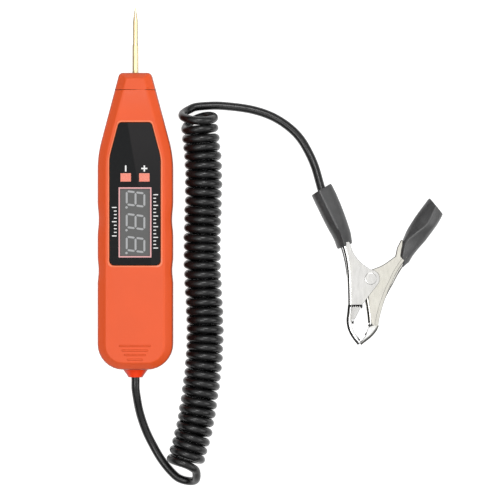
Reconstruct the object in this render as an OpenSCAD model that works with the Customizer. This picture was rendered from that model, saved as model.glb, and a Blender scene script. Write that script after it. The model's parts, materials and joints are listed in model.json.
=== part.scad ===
// Digital circuit test light: a slim case with a needle probe, a three-digit voltage
// display and two polarity lamps, and a curly ground lead with a crocodile clip.
// It lies on its back at z = 0, the display faces +Z and the probe points along +Y.
// The origin is the middle of the tester's footprint, probe tip to cord gland.

/* [Case] */
// Length from the probe's tip to the end of the cord gland
tester_l = 151.2; // [148:0.2:156]
// Length of the case
case_l = 121.4; // [119:0.2:123]
// Width of the case
case_w = 30.8; // [30:0.2:33]
// Thickness of the case
case_t = 20; // [20:0.5:22]
// Width of the nose where it would meet the end square
nose_w = 13; // [12.6:0.2:14]
// Wall thickness of the mouldings
wall = 1.8; // [1.6:0.1:2]
// Width of the sloped shoulder round the display face
shoulder_w = 3.4; // [3:0.1:3.6]
// Height that the shoulder drops
shoulder_drop = 3; // [2.5:0.1:3.5]

/* [Probe] */
// Diameter of the probe where it leaves the nose
probe_d = 2.5; // [2.3:0.1:2.8]
// Diameter of the slimmer needle in front of it
needle_d = 2.1; // [1.8:0.1:2.2]

/* [Display] */
// Width of the glossy window panel
panel_w = 20.6; // [20.4:0.1:21.2]
// Width of the frame round the digits
frame_w = 13.4; // [13:0.1:14]
// Length of the frame round the digits
frame_l = 28.6; // [28:0.1:29.4]
// Distance from one digit to the next
digit_pitch = 9.3; // [9:0.1:9.5]

/* [Ground lead] */
// Diameter of the cord
cord_d = 3.4; // [3.2:0.1:3.5]
// Outer diameter of the curly part
curl_d = 15.3; // [14.6:0.1:15.3]

/* [Clip] */
// Width of the clip across its outer side plates
clip_w = 8; // [7.8:0.1:8.2]
// Thickness of the clip's sheet steel
sheet_t = 0.7; // [0.6:0.05:0.7]
// Diameter of the rivet's shank
rivet_d = 3; // [2.8:0.1:3.2]
// Height of the clip's middle above the surface
clip_z = 5.2; // [5.2:0.1:5.6]

/* [Hidden] */
$fn = 48;

// Colours
orange = [0.94, 0.42, 0.28];
deep_orange = [0.89, 0.27, 0.12];
brass = [0.93, 0.83, 0.6];
nickel = [0.86, 0.86, 0.84];
black_plastic = [0.12, 0.12, 0.13];
display_grey = [0.45, 0.46, 0.47];
segment_grey = [0.66, 0.67, 0.68];
lamp_pink = [0.98, 0.58, 0.5];
board_green = [0.1, 0.4, 0.22];

// Overlap that keeps cuts and joins clean
eps = 0.01;
// How far a cut runs past the face that it opens
over = 1;
// How far ribs, posts and ridges run into the wall that carries them
root_in = 0.4;
// Gap round a piece that is laid into its recess
seat_gap = 0.05;

// Places along the tester
tip_y = tester_l / 2;
gland_end_y = -tester_l / 2;
gland_l = 3.2;
base_y = gland_end_y + gland_l;
nose_y = base_y + case_l;
seam_y = nose_y - 7;
flank_slope = 0.264;
split_z = case_t / 2;
probe_z = 0.6 * case_t;
nose_back_z = 4.5;
probe_shank_r = 1.6;
socket_r = 3;
socket_in = 2;
socket_l = 9;
shank_in = 2;
back_flat_y = nose_y - (case_w - nose_w) / 2 / flank_slope;
back_slope = atan(nose_back_z / (nose_y - back_flat_y));

// How far the case's front and back faces are drawn in from its outline
face_in_top = 2.4;
face_in_base = 2.9;
back_in = 3;

// Corner radii of the case's outline, from nose to base
nose_r = 2;
flank_r = 46;
base_r = 10.5;

// Window, display and lamps
panel_top_y = 28.5;
panel_top_w = 13.2;
panel_base_y = -29.6;
panel_t = 1;
panel_z = case_t - panel_t - 0.2;
frame_y = -12.2;
frame_line = 0.55;
module_clear = 0.1;
module_gap = 0.2;
module_w = frame_w - 2 * frame_line - module_clear;
module_l = frame_l - 2 * frame_line - module_clear;
module_top_z = panel_z + 0.5;
digit_h = 8;
digit_w = 6;
digit_slant = 0.13;
segment_w = 0.8;
digits_at = [0.2, frame_y + 0.3];
lamp_x = 3.8;
lamp_y = 6.15;
lamp_size = [4.3, 3.4];
mark_y = 9.8;
mark_t = 0.08;

// Circuit board
board_t = 1.6;
board_z = split_z + 0.4;
board_top_z = board_z + board_t;
board_w = 21;
board_ends = [-42, 24];
board_hole_r = 1;
board_screw_x = 7.6;
board_screw_ys = [-38.5, 20.5];
pin_r = 0.25;
pin_x = 4.4;
pin_pitch = 3.6;
pin_tail = 1.2;

// Case screws: [x, y, height of the back there]
case_screw_places = [[0, 29.6, 2.2], [-9.6, -57.5, 0], [9.6, -57.5, 0]];
boss_r = 3.4;
screw_r = 1.1;
screw_head_r = 2.5;
screw_head_t = 1.8;
head_seat = 2.4;
screw_l = 13;
screw_bite = 6.2;

// Ground lead: the route of the cord's middle line, laid on the surface
cord_r = cord_d / 2;
curl_r = curl_d / 2;
gland_z = split_z;
gland_neck_r = 4;
cord_inner_y = -58;
cord_clear = 0.3;

// Rib inside the case that stops the collar on the cord
rib_w = 12;
rib_t = 1.2;
rib_y = -61.6;

lead_path = [
    [0, cord_inner_y, gland_z], [0, -66, gland_z], [0, gland_end_y, gland_z],
    [0, -80, 9.6], [0.6, -84.5, 8.2], [1.4, -89, 6], [2.8, -94, 4], [4.7, -99, 2.6],
    [7.2, -104, cord_r], [10.1, -109, cord_r], [13.8, -113.8, cord_r],
    [17.3, -117.1, cord_r], [21.2, -118.6, 2.4], [24, -116.4, 4.6],
    [24.2, -112.4, 6.6], [22.4, -108, 7.4]
];
curl_z = curl_r + eps;
curl_path = [
    [26, 30, curl_z], [26.9, 21, curl_z], [27.8, 11, curl_z], [27.8, -1, curl_z],
    [27.3, -19, curl_z], [27.4, -32, curl_z], [28.4, -52, curl_z], [28.4, -62, curl_z],
    [27.6, -73, curl_z], [26, -85, curl_z], [23.9, -97.4, curl_z], [21.4, -107.4, curl_z]
];
tail_path = [
    [20.4, 29.6, 3.4], [19.6, 31.8, 2.2], [21.8, 34.2, cord_r], [26.2, 35.5, cord_r],
    [31.5, 35.9, cord_r], [37, 35.7, cord_r], [47.8, 34.2, cord_r], [56.1, 31.4, cord_r],
    [62.9, 27.1, cord_r], [67.4, 22.6, cord_r], [70.9, 16.9, 2], [73.5, 11, 3],
    [75.2, 5.2, 4.4], [76.3, 1.3, clip_z], [77.7, -2.2, clip_z], [79.9, -7.6, clip_z]
];

// Clip, in plan about its rivet
rivet_at = [96.4, -35.2];
rivet_clear = 0.05;
plate_gap = 0.3;
clip_half = clip_w / 2;
inner_half = clip_half - sheet_t - plate_gap;
nose_half = 3;
eye_r = 3.6;
channel_ends = [10, 24];
channel_half = 3;
sleeve_wall = 0.8;
fixed_sleeve_ends = [[76.2, 1.5], [85.8, -22]];
moving_sleeve_ends = [[123.6, -5.6], [109.9, -27.6]];

// ---- shapes that several pieces share ----

function unit(v) = v / norm(v);

// Points of the arc that rounds corner b = [x, y, r] between corners a and c
function corner_arc(a, b, c, steps = 6) =
    let (p = [b[0], b[1]],
         u = unit([a[0], a[1]] - p), v = unit([c[0], c[1]] - p),
         half = acos(u * v) / 2,
         middle = p + unit(u + v) * b[2] / sin(half),
         from = p + u * b[2] / tan(half) - middle,
         to = p + v * b[2] / tan(half) - middle,
         sweep = 180 - 2 * half)
    [for (k = [0:steps])
        middle + (from * sin(sweep * (steps - k) / steps) + to * sin(sweep * k / steps))
            / sin(sweep)];

function rounded(corners) =
    let (n = len(corners))
    [for (i = [0:n - 1])
        each corner_arc(corners[(i + n - 1) % n], corners[i], corners[(i + 1) % n])];

// An outline with a narrow straight end at top_y, sloped flanks and a wide round base.
// in_side, in_top and in_base draw its edges in.
module tapered_outline(top_y, top_w, full_w, low_y, radii, in_side = 0, in_top = 0, in_base = 0) {
    slant = sqrt(1 + flank_slope * flank_slope);
    top_half = top_w / 2 + flank_slope * in_top - in_side * slant;
    full_half = full_w / 2 - in_side;
    flank_y = top_y - in_top - (full_half - top_half) / flank_slope;
    polygon(rounded([
        [top_half, top_y - in_top, max(radii[0] - in_side, 0.6)],
        [full_half, flank_y, radii[1] - in_side],
        [full_half, low_y + in_base, max(radii[2] - in_side, 0.6)],
        [-full_half, low_y + in_base, max(radii[2] - in_side, 0.6)],
        [-full_half, flank_y, radii[1] - in_side],
        [-top_half, top_y - in_top, max(radii[0] - in_side, 0.6)]
    ]));
}

module case_outline(in_side = 0, in_top = 0, in_base = 0) {
    tapered_outline(nose_y, nose_w, case_w, base_y, [nose_r, flank_r, base_r],
        in_side, in_top, in_base);
}

module panel_outline(gap = 0) {
    tapered_outline(panel_top_y + gap, panel_top_w + gap, panel_w + 2 * gap,
        panel_base_y - gap, [1.7, 14, 2]);
}

module at_height(z) {
    translate([0, 0, z]) linear_extrude(eps) children();
}

// The whole case's outside, or its hollow when skin is the wall. Its back slopes up
// towards the nose.
module case_form(skin) {
    back = back_in + skin / 2;
    difference() {
        hull() {
            at_height(case_t - skin - eps)
                case_outline(shoulder_w + skin / 2, face_in_top + skin / 2,
                    face_in_base + skin / 2);
            translate([0, 0, shoulder_drop + skin / 2])
                linear_extrude(case_t - 2 * shoulder_drop - skin) case_outline(skin, skin, skin);
            at_height(skin) case_outline(back, back, back);
        }
        translate([-case_w, back_flat_y, skin]) rotate([back_slope, 0, 0])
            translate([0, -case_l, -case_t]) cube([2 * case_w, 2 * case_l, case_t]);
    }
}

module shell_form() {
    difference() {
        case_form(0);
        case_form(wall);
    }
}

module below_z(z) {
    translate([-case_w, -case_l, z - 2 * case_t]) cube([2 * case_w, 2 * case_l, 2 * case_t]);
}

module above_z(z) {
    translate([-case_w, -case_l, z]) cube([2 * case_w, 2 * case_l, 2 * case_t]);
}

// Shallow finger scallops in both sides: [y, half length, depth]
module finger_scallops() {
    for (s = [[-10.85, 6.15, 0.48], [-31.8, 4.9, 0.43]], side = [-1, 1]) {
        r = (s[1] * s[1] + s[2] * s[2]) / (2 * s[2]);
        translate([side * (case_w / 2 - s[2] + r), s[0], -over])
            cylinder(r = r, h = case_t + 2 * over, $fn = 180);
    }
}

module from_y(y) {
    translate([-case_w, y, -over]) cube([2 * case_w, case_l, case_t + 3 * over]);
}

module along_y(r, y0, y1, z, r1 = -1) {
    translate([0, y0, z]) rotate([-90, 0, 0])
        cylinder(r1 = r, r2 = r1 < 0 ? r : r1, h = y1 - y0);
}

// A round tube swept through path
module tube(path, r, sides = 8) {
    last = len(path) - 1;
    rings = [for (i = [0:last])
        let (t = unit(path[min(i + 1, last)] - path[max(i - 1, 0)]),
             u = unit(cross(t, [0, 0, 1])), v = cross(u, t))
        each [for (k = [0:sides - 1])
            let (a = (k + 0.5) * 360 / sides) path[i] + r * (cos(a) * u + sin(a) * v)]];
    polyhedron(rings, concat(
        [[for (k = [0:sides - 1]) k]],
        [for (i = [0:last - 1], k = [0:sides - 1])
            let (j = (k + 1) % sides)
            [i * sides + k, (i + 1) * sides + k, (i + 1) * sides + j, i * sides + j]],
        [[for (k = [sides - 1:-1:0]) last * sides + k]]
    ));
}

// ---- case ----

module board_screw_spots() {
    for (x = [-board_screw_x, board_screw_x], y = board_screw_ys) translate([x, y, 0])
        children();
}

// Children at each case screw, raised by that share of the back's height there
module case_screw_spots(raised = 0) {
    for (p = case_screw_places) translate([p[0], p[1], raised * p[2]]) children();
}

module grip_ridges() {
    ridge_y = -62.6;
    ridge_step = 1.85;
    ridge_l = [13.1, 10.9, 8.9, 6.6];
    ridge_w = 1;
    ridge_h = 0.4;
    for (i = [0:3])
        translate([-ridge_l[i] / 2, ridge_y - i * ridge_step - ridge_w / 2, case_t - root_in])
            cube([ridge_l[i], ridge_w, root_in + ridge_h]);
}

// The rib across the gland's end of the case, from z0 up to z1
module collar_rib(z0, z1) {
    translate([-rib_w / 2, rib_y, z0]) cube([rib_w, rib_t, z1 - z0]);
}

// Holes for the gland's neck and for the cord through the rib
module cord_way() {
    along_y(gland_neck_r, base_y - over, base_y + wall + over, gland_z);
    along_y(cord_r + cord_clear, rib_y - over, rib_y + rib_t + over, gland_z);
}

module front_shell() {
    post_r = 2.3;
    pilot_r = 0.8;
    pilot_l = 4.5;
    ceiling = case_t - wall + root_in;
    color(orange) difference() {
        union() {
            difference() {
                shell_form();
                below_z(split_z);
            }
            board_screw_spots() translate([0, 0, board_top_z])
                cylinder(r = post_r, h = ceiling - board_top_z);
            case_screw_spots() translate([0, 0, split_z])
                cylinder(r = boss_r, h = ceiling - split_z);
            collar_rib(gland_z, ceiling);
            grip_ridges();
        }
        from_y(seam_y);
        finger_scallops();
        translate([0, 0, panel_z - seat_gap]) linear_extrude(case_t)
            panel_outline(seat_gap);
        translate([-module_w / 2 - module_gap, frame_y - module_l / 2 - module_gap, split_z])
            cube([module_w + 2 * module_gap, module_l + 2 * module_gap, case_t]);
        for (x = [-lamp_x, lamp_x])
            translate([x, lamp_y, case_t - wall - over]) lamp_block(seat_gap, wall + 2 * over);
        board_screw_spots() translate([0, 0, board_top_z - over])
            cylinder(r = pilot_r, h = pilot_l + over);
        case_screw_spots() translate([0, 0, split_z - over])
            cylinder(r = screw_r, h = screw_bite + over);
        cord_way();
    }
}

module rear_shell() {
    floor_z = wall - root_in;
    hole_clear = 0.3;
    seat_clear = 0.2;
    color(orange) difference() {
        union() {
            difference() {
                shell_form();
                above_z(split_z);
            }
            for (p = case_screw_places) translate([p[0], p[1], p[2] + floor_z])
                cylinder(r = boss_r, h = split_z - p[2] - floor_z);
            collar_rib(floor_z, split_z);
        }
        from_y(seam_y);
        finger_scallops();
        case_screw_spots() translate([0, 0, -over])
            cylinder(r = screw_r + hole_clear, h = split_z + 2 * over);
        case_screw_spots(raised = 1) translate([0, 0, -3 * over])
            cylinder(r = screw_head_r + seat_clear, h = head_seat + 3 * over);
        cord_way();
    }
}

module nose_cap() {
    spigot_r = 4.2;
    spigot_l = 6;
    lip_h = 1;
    lip_t = 1.5;
    color(orange) difference() {
        union() {
            difference() {
                case_form(0);
                translate([-case_w, seam_y - 2 * case_l, -over])
                    cube([2 * case_w, 2 * case_l, case_t + 2 * over]);
            }
            along_y(spigot_r, seam_y - spigot_l, seam_y + root_in, probe_z);
            along_y(spigot_r + lip_h, seam_y - spigot_l, seam_y - spigot_l + lip_t, probe_z);
        }
        along_y(probe_shank_r, seam_y, nose_y + over, probe_z);
        along_y(socket_r, seam_y - spigot_l - over, seam_y + socket_in, probe_z);
    }
}

// ---- probe ----

module probe_tip() {
    blunt_r = 0.25;
    taper_y = tip_y - 5.6;
    step_y = nose_y + 12.3;
    step_l = 1.3;
    back_y = seam_y - shank_in;
    color(brass) translate([0, 0, probe_z]) rotate([-90, 0, 0]) rotate_extrude()
        polygon([
            [0, back_y], [probe_shank_r, back_y], [probe_shank_r, nose_y],
            [probe_d / 2, nose_y], [probe_d / 2, step_y - step_l], [needle_d / 2, step_y],
            [needle_d / 2, taper_y], [blunt_r, tip_y - blunt_r], [blunt_r / 2, tip_y],
            [0, tip_y]
        ]);
}

module probe_socket() {
    color(brass) difference() {
        along_y(socket_r, seam_y + socket_in - socket_l, seam_y + socket_in, probe_z);
        along_y(probe_shank_r, seam_y - shank_in, seam_y + socket_in + over, probe_z);
    }
}

module probe_wire() {
    wire_r = 0.6;
    color("red") tube([
        [0, seam_y + socket_in - socket_l, probe_z], [2, 33.6, probe_z + 0.4], [5, 31, probe_z + 0.8],
        [5.4, 27, probe_z + 1.4], [5, 23.5, board_top_z + 1], [4.4, 21, board_top_z + wire_r]
    ], wire_r);
}

// ---- window, display and lamps ----

// A lamp's window as a block, grown by gap all round
module lamp_block(gap, h) {
    translate([-lamp_size[0] / 2 - gap, -lamp_size[1] / 2 - gap, 0])
        cube([lamp_size[0] + 2 * gap, lamp_size[1] + 2 * gap, h]);
}

module frame_block(line, z0, h) {
    translate([-frame_w / 2 + line, frame_y - frame_l / 2 + line, z0])
        cube([frame_w - 2 * line, frame_l - 2 * line, h]);
}

module window_panel() {
    color(black_plastic) difference() {
        translate([0, 0, panel_z]) linear_extrude(panel_t) panel_outline();
        frame_block(-seat_gap, panel_z - over, panel_t + 2 * over);
        for (x = [-lamp_x, lamp_x])
            translate([x, lamp_y, panel_z - over]) lamp_block(seat_gap, panel_t + 2 * over);
    }
}

module display_frame() {
    proud = 0.1;
    color([0.9, 0.62, 0.62]) difference() {
        frame_block(0, panel_z, panel_t + proud);
        frame_block(frame_line, panel_z - over, panel_t + 3 * over);
    }
}

module display_module() {
    color(display_grey) translate([-module_w / 2, frame_y - module_l / 2, board_top_z])
        cube([module_w, module_l, module_top_z - board_top_z]);
}

// One bar of a digit, from a to b, with pointed ends
module segment(a, b) {
    along = unit(b - a);
    side = [-along[1], along[0]] * segment_w / 2;
    trim = along * segment_w / 3;
    tip = along * segment_w / 2;
    polygon([
        a + trim, a + trim + tip + side, b - trim - tip + side,
        b - trim, b - trim - tip - side, a + trim + tip - side
    ]);
}

// A point u along a digit's reading direction and v up it. It reads down the case.
function on_digit(u, v) = [v * digit_h / 2, -(u * digit_w / 2 + digit_slant * v * digit_h / 2)];

module digit() {
    bars = [
        [[-1, 1], [1, 1]], [[-1, 0], [1, 0]], [[-1, -1], [1, -1]],
        [[-1, 1], [-1, 0]], [[1, 1], [1, 0]], [[-1, 0], [-1, -1]], [[1, 0], [1, -1]]
    ];
    inset = 0.9;
    point_at = [1.32, -0.92];
    point_r = 0.5;
    for (bar = bars)
        segment(on_digit(bar[0][0] * inset, bar[0][1] * inset),
            on_digit(bar[1][0] * inset, bar[1][1] * inset));
    translate(on_digit(point_at[0], point_at[1])) circle(r = point_r, $fn = 24);
}

module display_segments() {
    color(segment_grey) translate([digits_at[0], digits_at[1], module_top_z])
        linear_extrude(mark_t)
            for (i = [-1:1]) translate([0, -i * digit_pitch]) digit();
}

module pin_spots() {
    for (x = [-pin_x, pin_x], i = [0:5])
        translate([x, frame_y + (i - 2.5) * pin_pitch, board_z - pin_tail]) children();
}

module display_pins() {
    color(nickel) pin_spots() cylinder(r = pin_r, h = board_t + pin_tail, $fn = 16);
}

module led_lens() {
    flange = 0.6;
    flange_t = 0.7;
    proud = 0.05;
    color(lamp_pink) translate([0, lamp_y, case_t - wall]) {
        translate([0, 0, -flange_t]) lamp_block(flange, flange_t);
        translate([0, 0, -eps]) lamp_block(0, wall + proud);
    }
}

module led_lens_minus() {
    translate([-lamp_x, 0, 0]) led_lens();
}

module led_lens_plus() {
    translate([lamp_x, 0, 0]) led_lens();
}

module led() {
    body_r = 1.5;
    body_l = 3;
    rim_w = 0.25;
    rim_t = 0.8;
    color("mistyrose") translate([0, lamp_y, board_top_z]) {
        cylinder(r = body_r + rim_w, h = rim_t);
        cylinder(r = body_r, h = body_l);
        translate([0, 0, body_l]) sphere(r = body_r);
    }
}

module led_minus() {
    translate([-lamp_x, 0, 0]) led();
}

module led_plus() {
    translate([lamp_x, 0, 0]) led();
}

// A bar along Y over the minus lamp and a cross over the plus lamp
module polarity_marks() {
    stroke = 0.6;
    reach = 2.5;
    color("white") translate([0, mark_y, panel_z + panel_t]) linear_extrude(mark_t) {
        translate([-lamp_x, 0]) square([stroke, reach], center = true);
        translate([lamp_x, 0]) square([stroke, reach], center = true);
        translate([lamp_x, 0]) square([reach, stroke], center = true);
    }
}

// Plain scale ticks down both sides of the display: [side, first y, count, ticks to a long one]
module scale_marks() {
    tick_t = 0.4;
    pitch = 1.45;
    inner_x = 7.5;
    short_l = 1.1;
    long_l = 1.9;
    color("white") translate([0, 0, panel_z + panel_t]) linear_extrude(mark_t)
        for (row = [[1, -1.1, 16, 3], [-1, -6.3, 9, 4]], i = [0:row[2] - 1])
            let (l = i % row[3] == 0 ? long_l : short_l)
                translate([row[0] * (inner_x + l / 2) - l / 2, row[1] - i * pitch])
                    square([l, tick_t]);
}

// ---- electronics ----

module circuit_board() {
    color(board_green) difference() {
        translate([-board_w / 2, board_ends[0], board_z])
            cube([board_w, board_ends[1] - board_ends[0], board_t]);
        board_screw_spots() translate([0, 0, board_z - over])
            cylinder(r = board_hole_r, h = board_t + 2 * over);
        pin_spots() cylinder(r = pin_r, h = board_t + pin_tail + over, $fn = 16);
    }
}

module controller_chip() {
    body = [4, 5, 1.4];
    leg = [1, 0.4, 0.7];
    leg_pitch = 1.27;
    stand_off = 0.15;
    translate([0, -34, board_top_z]) {
        color(black_plastic) translate([-body[0] / 2, -body[1] / 2, stand_off]) cube(body);
        color(nickel) for (side = [-1, 1], i = [0:3])
            translate([side * (body[0] + leg[0]) / 2 - leg[0] / 2,
                (i - 1.5) * leg_pitch - leg[1] / 2, 0]) cube(leg);
    }
}

module voltage_regulator() {
    body = [2.6, 3, 1.3];
    leg = [0.9, 0.4, 0.6];
    leg_pitch = 0.95;
    stand_off = 0.1;
    translate([-7.2, 12, board_top_z]) {
        color(black_plastic) translate([-body[0] / 2, -body[1] / 2, stand_off]) cube(body);
        color(nickel) for (i = [-1:1])
            translate([body[0] / 2 - eps, i * leg_pitch - leg[1] / 2, 0]) cube(leg);
    }
}

// Chip resistors and two capacitors
module board_components() {
    resistor = [2, 1.2, 0.6];
    capacitor = [3.2, 1.6, 1.5];
    color("tan") for (p = [[-6, -31], [-6, -33.6], [6, -31], [6, -33.6], [7.4, 13], [7.4, 10.6]])
        translate([p[0] - resistor[0] / 2, p[1] - resistor[1] / 2, board_top_z]) cube(resistor);
    color("goldenrod") for (p = [[-6, -28.4], [7.4, 15.6]])
        translate([p[0] - capacitor[0] / 2, p[1] - capacitor[1] / 2, board_top_z])
            cube(capacitor);
}

module board_screws() {
    head_r = 1.8;
    head_t = 1.2;
    thread_r = 0.8;
    bite = 4;
    color(nickel) board_screw_spots() translate([0, 0, board_z - head_t]) {
        cylinder(r = head_r, h = head_t);
        cylinder(r = thread_r, h = head_t + board_t + bite);
    }
}

// Countersunk in the back, with a cross slot
module case_screws() {
    head_z = head_seat - screw_head_t;
    slot_l = 3;
    slot_t = 0.6;
    color(nickel) case_screw_spots(raised = 1) difference() {
        union() {
            translate([0, 0, head_z]) cylinder(r = screw_head_r, h = screw_head_t);
            translate([0, 0, head_z]) cylinder(r = screw_r, h = screw_l);
        }
        for (a = [0, 90]) rotate([0, 0, a])
            translate([-slot_l / 2, -slot_t / 2, head_z - over]) cube([slot_l, slot_t, 2 * over]);
    }
}

// ---- ground lead ----

module cord_gland() {
    outer_r = 5.05;
    end_r = 3.05;
    chamfer = 0.4;
    flange_r = 4.8;
    flange_y = base_y + wall + seat_gap;
    flange_t = 1.5;
    color(deep_orange) difference() {
        union() {
            along_y(end_r - chamfer, gland_end_y, gland_end_y + chamfer, gland_z, end_r);
            along_y(end_r, gland_end_y + chamfer, base_y, gland_z, outer_r);
            along_y(gland_neck_r - seat_gap, base_y - eps, flange_y + eps, gland_z);
            along_y(flange_r, flange_y, flange_y + flange_t, gland_z);
        }
        along_y(cord_r + eps, gland_end_y - over, flange_y + flange_t + over, gland_z);
    }
}

// Ring crimped on the cord inside the case, which stops it being pulled out
module cord_collar() {
    collar_t = 1.2;
    collar_l = 4.6;
    front_y = rib_y - over;
    color(nickel) difference() {
        along_y(cord_r + collar_t, front_y - collar_l, front_y, gland_z);
        along_y(cord_r + eps, front_y - collar_l - over, front_y + over, gland_z);
    }
}

module ground_wire() {
    wire_r = 0.6;
    color("dimgray") tube([
        [0, cord_inner_y, gland_z], [0.6, -53, gland_z + 0.6], [1.6, -48, board_top_z],
        [2.4, -43.5, board_top_z + 1.2], [2.8, -40, board_top_z + wire_r]
    ], wire_r);
}

module cord_lead() {
    color(black_plastic) tube(lead_path, cord_r);
}

module cord_curl() {
    color(black_plastic) tube(curl_path, curl_r, 20);
}

module cord_tail() {
    color(black_plastic) tube(tail_path, cord_r);
}

// ---- crocodile clip, drawn about its middle plane ----

module at_clip() {
    translate([0, 0, clip_z]) children();
}

module at_rivet() {
    translate([rivet_at[0], rivet_at[1], 0]) children();
}

// Places children at the start of a line in plan, with +X along it
module along_line(ends) {
    d = ends[1] - ends[0];
    translate([ends[0][0], ends[0][1], 0]) rotate([0, 0, atan2(d[1], d[0])]) children();
}

module plate(z0) {
    translate([0, 0, z0]) linear_extrude(sheet_t) children();
}

// Two equal plates, one each side of the middle plane, out to half
module plate_pair(half) {
    plate(half - sheet_t) children();
    plate(-half) children();
}

// A strip of sheet that follows path in plan and stands on edge
module strip(path, half) {
    last = len(path) - 1;
    side = [for (i = [0:last])
        let (t = unit(path[min(i + 1, last)] - path[max(i - 1, 0)])) [-t[1], t[0]] * sheet_t / 2];
    translate([0, 0, -half]) linear_extrude(2 * half)
        polygon(concat([for (i = [0:last]) path[i] + side[i]],
            [for (i = [last:-1:0]) path[i] - side[i]]));
}

// The end of a handle inside its sleeve: a channel with its back on side
module handle_channel(ends, half_w, side) {
    l = channel_ends[1] - channel_ends[0];
    along_line(ends) translate([channel_ends[0], 0, 0]) difference() {
        translate([0, -half_w, -channel_half]) cube([l, 2 * half_w, 2 * channel_half]);
        translate([-over, -half_w - side * sheet_t, -channel_half + sheet_t])
            cube([l + 2 * over, 2 * half_w, 2 * (channel_half - sheet_t)]);
    }
}

// The jaw on the cord's side: outer side plates, spine and toothed nose
module clip_jaw_fixed() {
    side_plate = [
        [88, -46], [87.5, -37], [86.9, -33.3], [86.2, -27], [84.8, -23.1], [83.5, -20.4],
        [86.3, -19.2], [87.8, -22.2], [89.7, -25.8], [92.6, -29], [96.4, -31.5],
        [100, -36.2], [98.7, -37.9], [94.6, -43.7], [92.9, -46]
    ];
    far_strip = [[88, -45.9], [92.9, -45.9], [89.6, -52], [87.2, -52]];
    teeth = [
        [87, -51.9], [88.6, -51.9], [88.3, -53.4], [89.6, -54.8], [89.2, -56.4], [90.6, -57.6],
        [90.2, -59.2], [91.3, -60.4], [91.2, -62.2], [88.7, -58], [87.5, -55.3]
    ];
    color(nickel) at_clip() difference() {
        union() {
            plate_pair(clip_half) {
                polygon(side_plate);
                at_rivet() circle(r = eye_r);
            }
            plate(-clip_half) polygon(far_strip);
            plate_pair(nose_half) polygon(teeth);
            strip([[83.9, -20.3], [85.2, -23.1], [86.6, -27.3], [87.3, -33.3], [87.8, -37],
                [88.2, -46]], clip_half);
            strip([[88.2, -45.8], [87.8, -49], [87.2, -52.6], [87.6, -55.2], [88.8, -57.8],
                [91.2, -62.1]], nose_half);
            translate([0, 0, -clip_half]) linear_extrude(clip_half)
                polygon([[87.9, -45.5], [88.5, -45.5], [87.6, -52.6], [87, -52.6]]);
            handle_channel(fixed_sleeve_ends, 1.5, -1);
        }
        at_rivet() cylinder(r = rivet_d / 2, h = 2 * clip_w, center = true);
    }
}

// The jaw that opens: inner side plates, spine and toothed nose
module clip_jaw_moving() {
    side_plate = [
        [96.4, -31.7], [101.3, -29.8], [106.7, -26.4], [108.6, -27], [109.9, -25],
        [112.2, -26.5], [110.6, -28.9], [108.9, -30.2], [107, -33.3], [104.1, -39.3],
        [101.8, -45.4], [100.6, -49.1], [99.6, -53.4], [98.9, -54.9], [95.5, -53.5],
        [95.8, -51.7], [94.6, -43.7], [94.2, -38]
    ];
    teeth = [
        [98.7, -54.6], [95.5, -53.4], [94.7, -55.5], [95.1, -56.4], [93.8, -57.6],
        [94, -58.6], [92.7, -59.8], [92.8, -60.8], [91.8, -61.5], [91.7, -62.4], [95.4, -59.6],
        [97.6, -57.4]
    ];
    color(nickel) at_clip() difference() {
        union() {
            plate_pair(inner_half) {
                polygon(side_plate);
                at_rivet() circle(r = eye_r);
            }
            plate_pair(nose_half) polygon(teeth);
            strip([[111.8, -26.6], [110.3, -28.8], [108.6, -30.4], [106.7, -33.4],
                [103.8, -39.4], [101.5, -45.5], [100.2, -49.3], [99.2, -53.6],
                [98.6, -55]], nose_half);
            strip([[98.8, -54.4], [97.5, -57], [95.2, -59.4], [92, -61.9]], nose_half);
            handle_channel(moving_sleeve_ends, 1.4, 1);
        }
        at_rivet() cylinder(r = rivet_d / 2 + rivet_clear, h = 2 * clip_w, center = true);
    }
}

module clip_rivet() {
    head_r = 2.45;
    head_t = 0.9;
    dome = 0.6;
    color(nickel) at_clip() at_rivet() {
        cylinder(r = rivet_d / 2, h = clip_w, center = true);
        for (up = [0, 1]) mirror([0, 0, up]) translate([0, 0, clip_half])
            cylinder(r1 = head_r, r2 = head_r - dome, h = head_t);
    }
}

// Torsion spring on the rivet. Its two legs press on the backs of the handles: each is
// [angle, length, side of the coil, height].
module clip_spring() {
    coil_r = 3.2;
    coil_clear = 0.3;
    bore_r = rivet_d / 2 + coil_clear;
    wire_r = 0.5;
    coil_h = 4;
    leg_offset = 2.5;
    legs = [[133, 10.4, 1, -1.3], [27, 9.2, -1, 1.3]];
    color(nickel) at_clip() at_rivet() {
        rotate_extrude() translate([bore_r, -coil_h / 2]) square([coil_r - bore_r, coil_h]);
        for (leg = legs) rotate([0, 0, leg[0]])
            translate([0, leg[2] * leg_offset, leg[3]]) rotate([0, 90, 0])
                cylinder(r = wire_r, h = leg[1]);
    }
}

// Ferrule that joins the cord's end to the handle
module wire_crimp() {
    crimp_l = 5.6;
    crimp_t = 0.6;
    color(nickel) at_clip() along_line(fixed_sleeve_ends)
        translate([channel_ends[0] - crimp_l, 0, 0]) rotate([0, 90, 0]) difference() {
            cylinder(r = cord_r + crimp_t, h = crimp_l);
            translate([0, 0, -over]) cylinder(r = cord_r + eps, h = crimp_l + 2 * over);
        }
}

// A slice of sleeve at x, wide in plan and tall, moved sideways by shift
module sleeve_slice(x, wide, tall, r, shift) {
    translate([x, shift, 0]) rotate([0, 90, 0]) linear_extrude(eps) hull()
        for (i = [-1, 1], j = [-1, 1])
            translate([i * (tall / 2 - r), j * (wide / 2 - r)]) circle(r = r, $fn = 32);
}

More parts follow.
